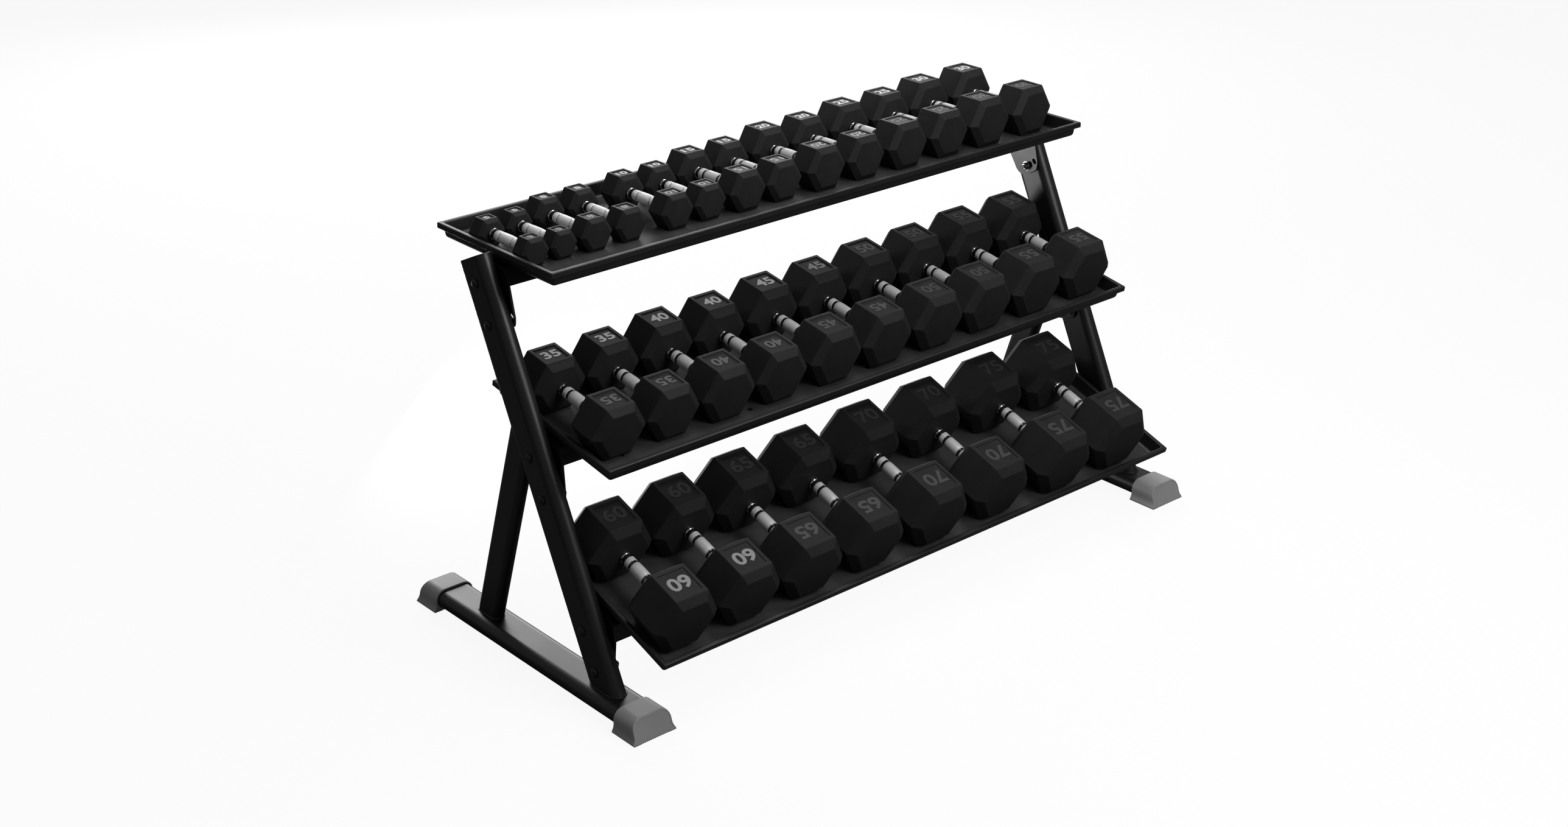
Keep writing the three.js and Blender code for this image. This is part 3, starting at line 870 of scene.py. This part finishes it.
def handle_mesh(name, half):
    """A whole handle along y: the half outline turned round the axis and mirrored."""
    parts = []
    for finish, points in half:
        for facing in (-1, 1):
            bm = bmesh.new()
            rows = []
            for radius, y in points:
                angles = (2 * math.pi * i / ROUND_STEPS for i in range(ROUND_STEPS))
                circle = ((radius * MM * math.cos(a), radius * MM * math.sin(a)) for a in angles)
                rows.append([bm.verts.new((x, facing * y * MM, z)) for x, z in circle])
            for near, far in zip(rows, rows[1:]):
                for i in range(ROUND_STEPS):
                    j = (i + 1) % ROUND_STEPS
                    quad = (near[i], near[j], far[j], far[i])
                    bm.faces.new(quad if facing < 0 else quad[::-1])
            part = bpy.data.meshes.new("part")
            bm.to_mesh(part)
            bm.free()
            parts.append((part, Matrix(), finish))
    return joined(name, parts)


light_handle = handle_mesh("light_handle", HANDLE_LIGHT)
heavy_handle = handle_mesh("heavy_handle", HANDLE_HEAVY)
for tier in TIERS:
    for weight in ROWS[tier]:
        for side, _ in SIDES:
            node = f"dumbbell_{weight}_{side}"
            mesh = light_handle if weight < HEAVY_HANDLE_FROM else heavy_handle
            handle = bpy.data.objects.new(f"handle_{weight}_{side}", mesh)
            bpy.context.collection.objects.link(handle)
            handle.matrix_world = dumbbell_place(node, tier)
            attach(handle, node)

# Floor and light. A pale studio floor that lights the rack only weakly from below, a wide soft
# light behind, weaker ones overhead and in front, and a small one low behind its left half.
floor_mesh = bpy.data.meshes.new("floor")
bm = bmesh.new()
bmesh.ops.create_grid(bm, x_segments=1, y_segments=1, size=30)
bm.to_mesh(floor_mesh)
bm.free()
floor = bpy.data.objects.new("floor", floor_mesh)
bpy.context.collection.objects.link(floor)
floor.location.z = -0.5 * MM
paint = bpy.data.materials.new("floor")
paint.use_nodes = True
nodes, links = paint.node_tree.nodes, paint.node_tree.links
seen = nodes.new("ShaderNodeLightPath")
glow = nodes.new("ShaderNodeEmission")
glow.inputs["Strength"].default_value = 1.02
dull = nodes["Principled BSDF"]
dull.inputs["Base Color"].default_value = (0.12, 0.12, 0.12, 1)
dull.inputs["Roughness"].default_value = 1
dull.inputs["Specular IOR Level"].default_value = 0
pale = nodes.new("ShaderNodeBsdfDiffuse")
pale.inputs["Color"].default_value = (0.85, 0.85, 0.85, 1)
lit = nodes.new("ShaderNodeMixShader")
lit.inputs["Fac"].default_value = 0.9
links.new(pale.outputs["BSDF"], lit.inputs[1])
links.new(glow.outputs["Emission"], lit.inputs[2])
choose = nodes.new("ShaderNodeMixShader")
links.new(seen.outputs["Is Camera Ray"], choose.inputs["Fac"])
links.new(dull.outputs["BSDF"], choose.inputs[1])
links.new(lit.outputs["Shader"], choose.inputs[2])
links.new(choose.outputs["Shader"], nodes["Material Output"].inputs["Surface"])
floor_mesh.materials.append(paint)


def softbox(name, location, target, size, power):
    """Rectangular lamp, in metres and watts, that faces a target and is not seen itself."""
    lamp = bpy.data.lights.new(name, "AREA")
    lamp.shape = "RECTANGLE"
    lamp.size, lamp.size_y = size
    lamp.energy = power
    holder = bpy.data.objects.new(name, lamp)
    holder.location = location
    facing = Vector(target) - Vector(location)
    holder.rotation_euler = facing.to_track_quat("-Z", "Y").to_euler()
    holder.visible_camera = False
    bpy.context.collection.objects.link(holder)


softbox("overhead", (0.4, -0.3, 2.7), (0.1, -0.1, 0.5), (2.0, 1.0), 26)
softbox("behind", (2.4, 4.4, 2.1), (-0.3, 0.1, 0.3), (3.8, 2.6), 150)
softbox("behind_left", (-0.42, 1.4, 0.42), (0.75, 0.05, 0.8), (0.6, 0.6), 11)
softbox("front", (0.3, -2.7, 2.5), (0.0, 0, 0.4), (1.8, 1.2), 42)
world = bpy.data.worlds.new("studio")
world.use_nodes = True
nodes, links = world.node_tree.nodes, world.node_tree.links
seen = nodes.new("ShaderNodeLightPath")
strength = nodes.new("ShaderNodeMix")
strength.inputs["A"].default_value = 0.2
strength.inputs["B"].default_value = 1.0
links.new(seen.outputs["Is Camera Ray"], strength.inputs["Factor"])
links.new(strength.outputs["Result"], nodes["Background"].inputs["Strength"])
nodes["Background"].inputs["Color"].default_value = (1, 1, 1, 1)
bpy.context.scene.world = world
bpy.context.scene.view_settings.view_transform = "Standard"
